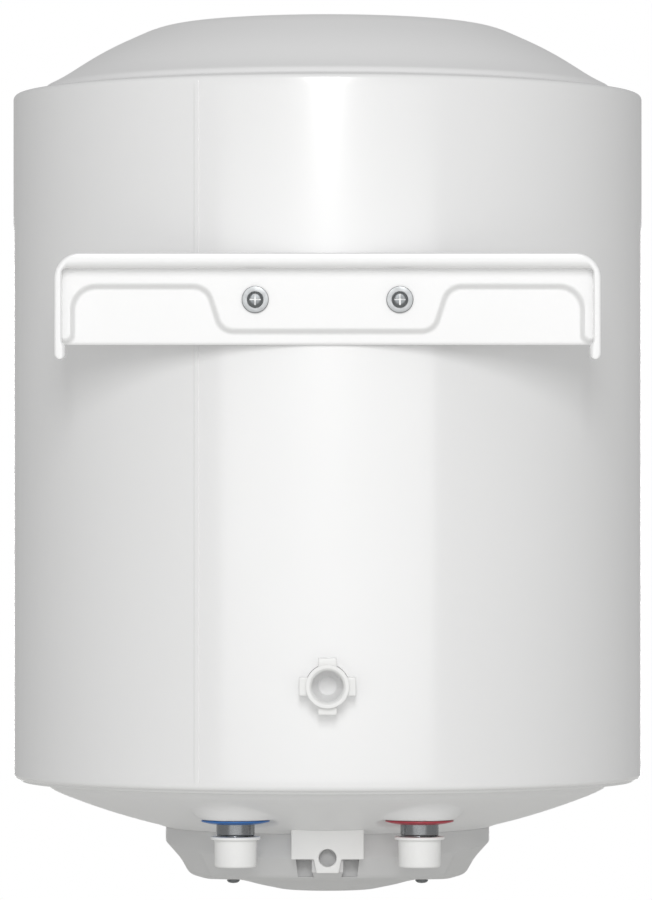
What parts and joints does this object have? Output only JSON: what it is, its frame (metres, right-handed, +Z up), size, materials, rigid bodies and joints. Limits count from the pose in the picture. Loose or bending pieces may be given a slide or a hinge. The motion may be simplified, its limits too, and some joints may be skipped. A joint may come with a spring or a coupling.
{
  "type": "tank water heater",
  "caption": "Round wall-hung storage water heater: steel tank in a white jacket with domed caps, hanging bracket, wall standoff, pipe nipples and a bottom service cover.",
  "frame": {"origin": "middle of the flat nose of the hanging bracket's top lip, in the wall plane", "axes": "+Z up along the body's axis, +Y towards the wall, the front of the heater faces -Y"},
  "size_m": [0.353, 0.376, 0.4917],
  "materials": {
    "white_enamel": "glossy stoved enamel",
    "white_plastic": "moulded, satin",
    "grey_plastic": "moulded, fine texture",
    "black_plastic": "moulded",
    "blue_plastic": "moulded",
    "red_plastic": "moulded",
    "foam": "rigid polyurethane foam",
    "tank_enamel": "glass enamel",
    "plain_steel": "plain",
    "zinc_steel": "bright zinc plate",
    "copper": "drawn copper",
    "magnesium": "cast magnesium",
    "rubber": "moulded rubber",
    "brown_insulation": "wire insulation",
    "blue_insulation": "wire insulation",
    "green_insulation": "wire insulation",
    "amber_lens": "tinted lens",
    "clear_lens": "clear lens"
  },
  "bodies": {
    "root": {"outer_jacket": "white_enamel", "top_cap": "white_enamel", "bottom_cap": "white_enamel", "hanging_bracket": "white_enamel", "top_plug": "white_plastic", "cable_entry_plate": "white_plastic", "inlet_diffuser": "white_plastic", "terminal_block": "white_plastic", "thermometer_dial": "white_plastic", "service_cover": "grey_plastic", "standoff_socket": "grey_plastic", "thermometer_housing": "grey_plastic", "thermostat_body": "black_plastic", "safety_cutout": "black_plastic", "pilot_lamp_body": "black_plastic", "cold_rosette": "blue_plastic", "hot_rosette": "red_plastic", "insulation_foam": "foam", "inner_tank": "tank_enamel", "tank_flange_ring": "plain_steel", "hot_water_pipe": "plain_steel", "flange_plate": "zinc_steel", "flange_nut_1": "zinc_steel", "flange_nut_2": "zinc_steel", "flange_nut_3": "zinc_steel", "flange_nut_4": "zinc_steel", "flange_nut_5": "zinc_steel", "bracket_boss_left": "zinc_steel", "bracket_boss_right": "zinc_steel", "bracket_washer_left": "zinc_steel", "bracket_washer_right": "zinc_steel", "bracket_screw_left": "zinc_steel", "bracket_screw_right": "zinc_steel", "cover_screw_left": "zinc_steel", "cover_screw_right": "zinc_steel", "cold_nipple": "zinc_steel", "hot_nipple": "zinc_steel", "heating_element": "copper", "thermowell": "copper", "thermometer_stem": "copper", "anode_rod": "magnesium", "flange_gasket": "rubber", "live_wire": "brown_insulation", "neutral_wire": "blue_insulation", "earth_wire": "green_insulation", "pilot_lamp_lens": "amber_lens", "thermometer_lens": "clear_lens"},
    "knob": {"thermostat_shaft": "white_plastic", "thermostat_knob": "grey_plastic"},
    "needle": {"thermometer_needle": "red_plastic"},
    "reset": {"reset_button": "red_plastic"},
    "pad": {"standoff_pad": "white_plastic"},
    "collar": {"standoff_collar": "white_plastic"},
    "cold_cap": {"cold_transit_cap": "white_plastic"},
    "hot_cap": {"hot_transit_cap": "white_plastic"}
  },
  "joints": [
    {"name": "knob_turn", "type": "hinge", "parent": "root", "child": "knob", "pos_m": [0, -0.1915, -0.3415], "axis": [0, 0, 1], "range_deg": [0, 270]},
    {"name": "needle_swing", "type": "hinge", "parent": "root", "child": "needle", "pos_m": [0, -0.361, -0.215], "axis": [0, 1, 0], "range_deg": [0, 240], "stiffness_Nm_per_rad": 0.0002},
    {"name": "reset_press", "type": "slide", "parent": "root", "child": "reset", "axis": [0, 0, 1], "range_m": [0, 0.002], "stiffness_N_per_m": 400},
    {"name": "standoff_travel", "type": "slide", "parent": "root", "child": "pad", "axis": [0, 1, 0], "range_m": [-0.003, 0.008]},
    {"name": "standoff_turn", "type": "hinge", "parent": "pad", "child": "collar", "pos_m": [0, -0.0125, -0.2264], "axis": [0, 1, 0], "range_deg": [-361, 961]},
    {"name": "cold_cap_pull", "type": "slide", "parent": "root", "child": "cold_cap", "axis": [0, 0, -1], "range_m": [0, 0.02]},
    {"name": "hot_cap_pull", "type": "slide", "parent": "root", "child": "hot_cap", "axis": [0, 0, -1], "range_m": [0, 0.02]}
  ],
  "couplings": [
    {"joint": "standoff_turn", "follows": "standoff_travel", "rad_per_m": 2094.4}
  ]
}
